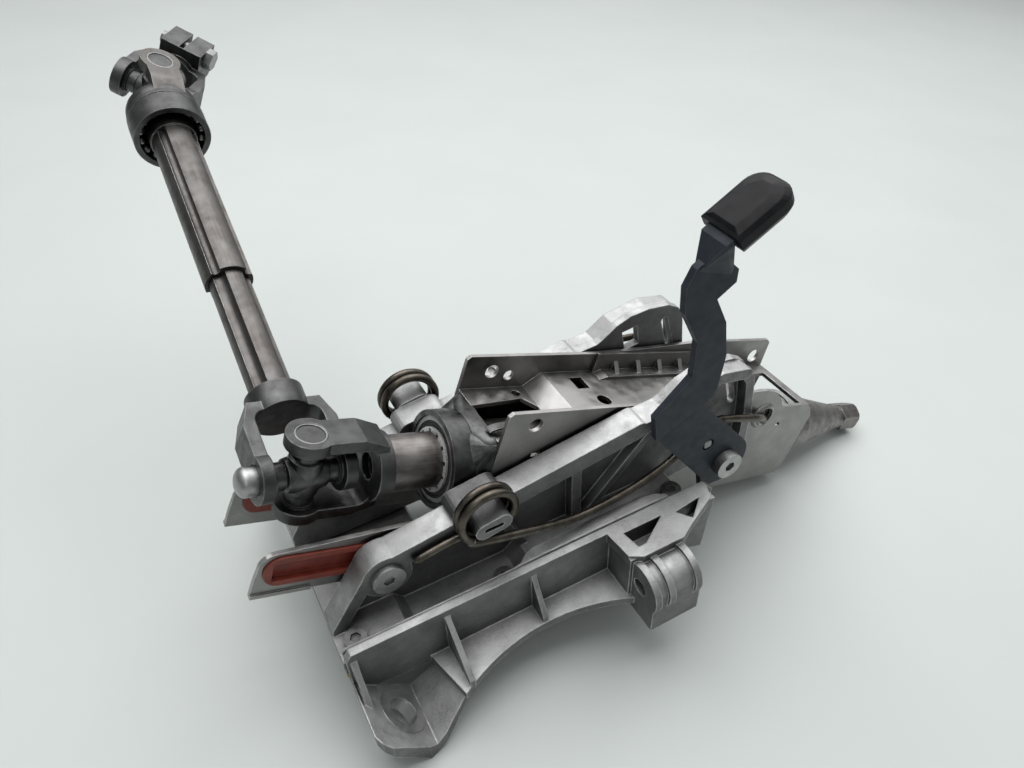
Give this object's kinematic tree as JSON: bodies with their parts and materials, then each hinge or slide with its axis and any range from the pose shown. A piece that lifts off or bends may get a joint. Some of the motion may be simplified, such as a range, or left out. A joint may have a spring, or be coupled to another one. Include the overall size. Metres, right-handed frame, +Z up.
{
  "type": "steering column",
  "caption": "Adjustable steering column: cast base and cheeks, tilting and telescoping sheet-steel guide box, clamp lever, bearing-held shaft and jointed intermediate shaft.",
  "frame": {"origin": "centre of the wheel end of the steering shaft", "axes": "+X runs level towards the wheel end, +Y level across the column, +Z up from the bench it lies on"},
  "size_m": [0.468, 0.4432, 0.2672],
  "materials": {
    "cast_aluminium": "as-cast, fine grain",
    "machined_steel": "machined, bright",
    "strip_plastic": "moulded",
    "bolt_steel": "zinc flake",
    "spring_steel": "oiled wire",
    "shoe_plastic": "moulded",
    "dark_steel": "phosphated",
    "lever_paint": "satin paint",
    "grip_plastic": "fine grain",
    "sheet_steel": "pressed sheet",
    "liner_plastic": "moulded",
    "tube_steel": "drawn",
    "forged_steel": "forged, blasted"
  },
  "bodies": {
    "base": {"base_bracket": "cast_aluminium", "foot_sleeves": "machined_steel", "slide_strips": "strip_plastic", "near_cheek": "cast_aluminium", "far_cheek": "cast_aluminium", "carrier_bolts": "bolt_steel", "pivot_bolts": "machined_steel", "near_spring": "spring_steel", "far_spring": "spring_steel"},
    "tilt_frame": {"slide_shoes": "shoe_plastic", "clamp_bolt": "machined_steel", "clamp_nut": "machined_steel", "fixed_cam": "dark_steel", "clamp_washers": "machined_steel"},
    "lever": {"moving_cam": "dark_steel", "lever_plate": "lever_paint", "lever_grip": "grip_plastic"},
    "guide_box": {"guide_box": "sheet_steel", "slot_liners": "liner_plastic", "front_housing": "dark_steel", "toothed_bracket": "sheet_steel", "jacket_tube": "tube_steel", "end_cap": "cast_aluminium", "front_outer_race": "machined_steel", "rear_outer_race": "machined_steel"},
    "steering_shaft": {"front_balls": "machined_steel", "rear_balls": "machined_steel", "front_inner_race": "machined_steel", "rear_inner_race": "machined_steel", "steering_shaft": "tube_steel", "lock_sleeve": "dark_steel", "star_washer": "machined_steel", "upper_yoke": "forged_steel", "upper_yoke_cups": "machined_steel"},
    "upper_cross": {"upper_cross": "dark_steel"},
    "fork_shaft": {"fork_yoke": "forged_steel", "fork_yoke_cups": "machined_steel", "inner_shaft": "tube_steel"},
    "outer_shaft": {"outer_tube": "tube_steel", "tube_yoke_cups": "machined_steel"},
    "seal_ring": {"seal_ring": "forged_steel", "seal_balls": "machined_steel"},
    "lower_cross": {"lower_cross": "dark_steel"},
    "clamp_yoke": {"clamp_yoke": "forged_steel", "clamp_yoke_cups": "machined_steel", "pinch_bolt": "bolt_steel"}
  },
  "joints": [
    {"name": "tilt", "type": "hinge", "parent": "base", "child": "tilt_frame", "pos_m": [-0.40147, 0, 0.06504], "axis": [0, 1, 0], "range_deg": [-3.5, 3.5], "deforming": ["near_spring", "far_spring"]},
    {"name": "reach", "type": "slide", "parent": "tilt_frame", "child": "guide_box", "axis": [0.9684, 0, -0.2495], "range_m": [-0.012, 0.042], "deforming": ["near_spring", "far_spring"]},
    {"name": "lever_swing", "type": "hinge", "parent": "tilt_frame", "child": "lever", "pos_m": [-0.19911, 0, 0.07692], "axis": [0, 1, 0], "range_deg": [0, 55]},
    {"name": "steer", "type": "hinge", "parent": "guide_box", "child": "steering_shaft", "pos_m": [-0.42705, 0, 0.11005], "axis": [0.9684, 0, -0.2495], "range_deg": [-20, 120]},
    {"name": "upper_joint_swing", "type": "hinge", "parent": "steering_shaft", "child": "upper_cross", "pos_m": [-0.42705, 0, 0.11005], "axis": [-0.2495, 0, -0.9684], "range_deg": [-165, 0]},
    {"name": "upper_joint_lift", "type": "hinge", "parent": "upper_cross", "child": "fork_shaft", "pos_m": [-0.42705, 0, 0.11005], "axis": [0.9642, 0.0924, -0.2485], "range_deg": [-16, 13]},
    {"name": "shaft_telescope", "type": "slide", "parent": "fork_shaft", "child": "outer_shaft", "axis": [-0.0126, 0.9522, 0.3052], "range_m": [-0.03, 0.05]},
    {"name": "lower_joint_swing", "type": "hinge", "parent": "outer_shaft", "child": "lower_cross", "pos_m": [-0.43082, 0.28567, 0.20159], "axis": [0.2648, -0.2911, 0.9193], "range_deg": [0, 60]},
    {"name": "lower_joint_lift", "type": "hinge", "parent": "lower_cross", "child": "clamp_yoke", "pos_m": [-0.43082, 0.28567, 0.20159], "axis": [0.7676, -0.5135, -0.3837], "range_deg": [-25, 25]},
    {"name": "seal_spin", "type": "hinge", "parent": "outer_shaft", "child": "seal_ring", "pos_m": [-0.43082, 0.28567, 0.20159], "axis": [-0.0126, 0.9522, 0.3052], "continuous": true}
  ]
}
